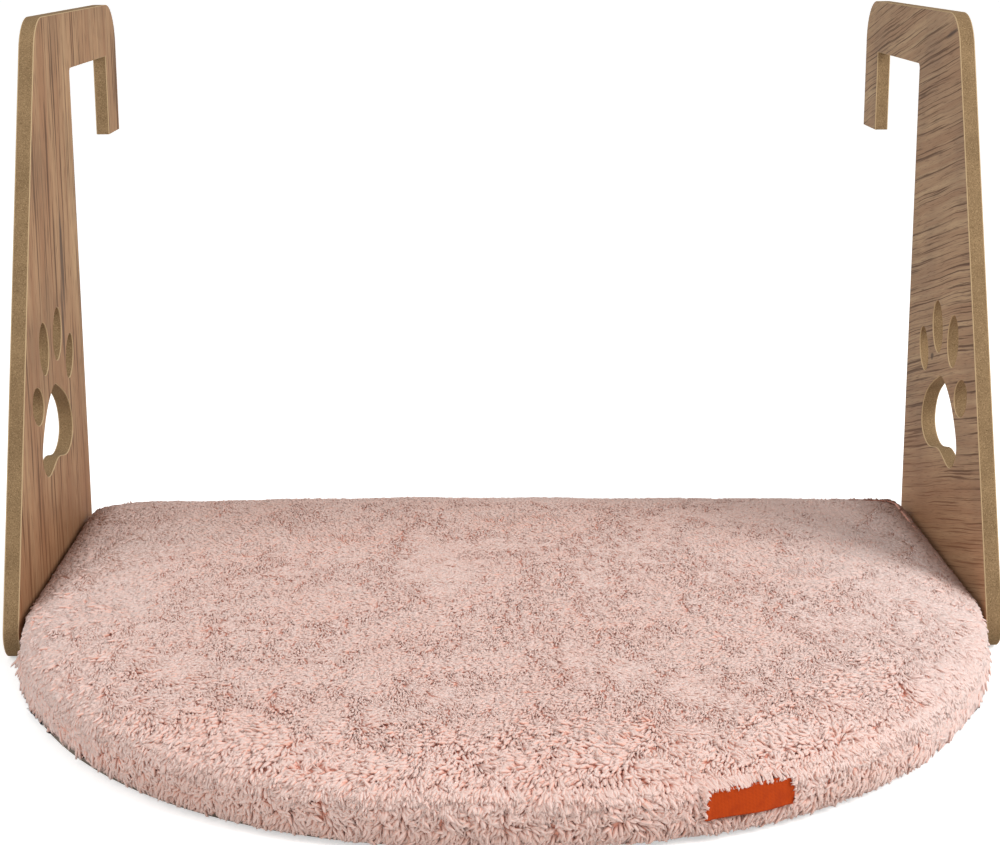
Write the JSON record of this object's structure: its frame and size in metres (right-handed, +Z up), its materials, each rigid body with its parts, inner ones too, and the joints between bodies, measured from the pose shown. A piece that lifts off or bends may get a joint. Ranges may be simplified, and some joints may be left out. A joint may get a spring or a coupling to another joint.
{
  "type": "plush pet bed",
  "caption": "Radiator-hung pet bed: two hooked laminated-board brackets carry a D-shaped deck with a lift-off plush cushion, closed by a zip.",
  "frame": {"origin": "on the deck's underside, midway between the brackets and halfway along the deck's depth", "axes": "+X to the right seen from the front, +Y from the front towards the radiator, +Z up"},
  "size_m": [0.5204, 0.539, 0.325],
  "materials": {
    "laminate_left": "walnut-look laminate on MDF, upright grain",
    "laminate_right": "walnut-look laminate on MDF, slanting grain",
    "deck_wood": "sealed grey-brown board",
    "bolt_steel": "zinc-plated",
    "nut_steel": "zinc-plated",
    "beech": "plain fluted beech",
    "hook_tape": "black nylon hooks",
    "loop_tape": "black nylon loops",
    "base_cloth": "grey-brown non-woven cloth",
    "foam": "open-cell foam",
    "plush": "pale pink teddy pile",
    "label_cloth": "rust-orange woven label, blank",
    "zip_cloth": "pink woven tape",
    "zip_nylon": "pink nylon coil",
    "zip_metal": "nickel"
  },
  "bodies": {
    "frame": {"bracket_left": "laminate_left", "bracket_right": "laminate_right", "deck_board": "deck_wood", "connector_bolts": "bolt_steel", "barrel_nuts": "nut_steel", "locating_dowels": "beech", "hook_strips": "hook_tape"},
    "cushion": {"plush_cover": "plush", "foam_pad": "foam", "underside_panel": "base_cloth", "loop_strips": "loop_tape", "cover_label": "label_cloth", "zip_tapes": "zip_cloth", "zip_coil": "zip_nylon", "zip_stops": "zip_metal"},
    "slider": {"zip_slider": "zip_metal"},
    "pull": {"zip_pull": "zip_metal"}
  },
  "joints": [
    {"name": "cushion_lift", "type": "slide", "parent": "frame", "child": "cushion", "axis": [0, 0, 1], "range_m": [0, 0.34]},
    {"name": "zip_run", "type": "slide", "parent": "cushion", "child": "slider", "axis": [-1, 0, 0], "range_m": [0, 0.4]},
    {"name": "pull_swing", "type": "hinge", "parent": "slider", "child": "pull", "pos_m": [0.2, 0.1896, 0.0183], "axis": [0, 0, -1], "range_deg": [0, 170]}
  ]
}
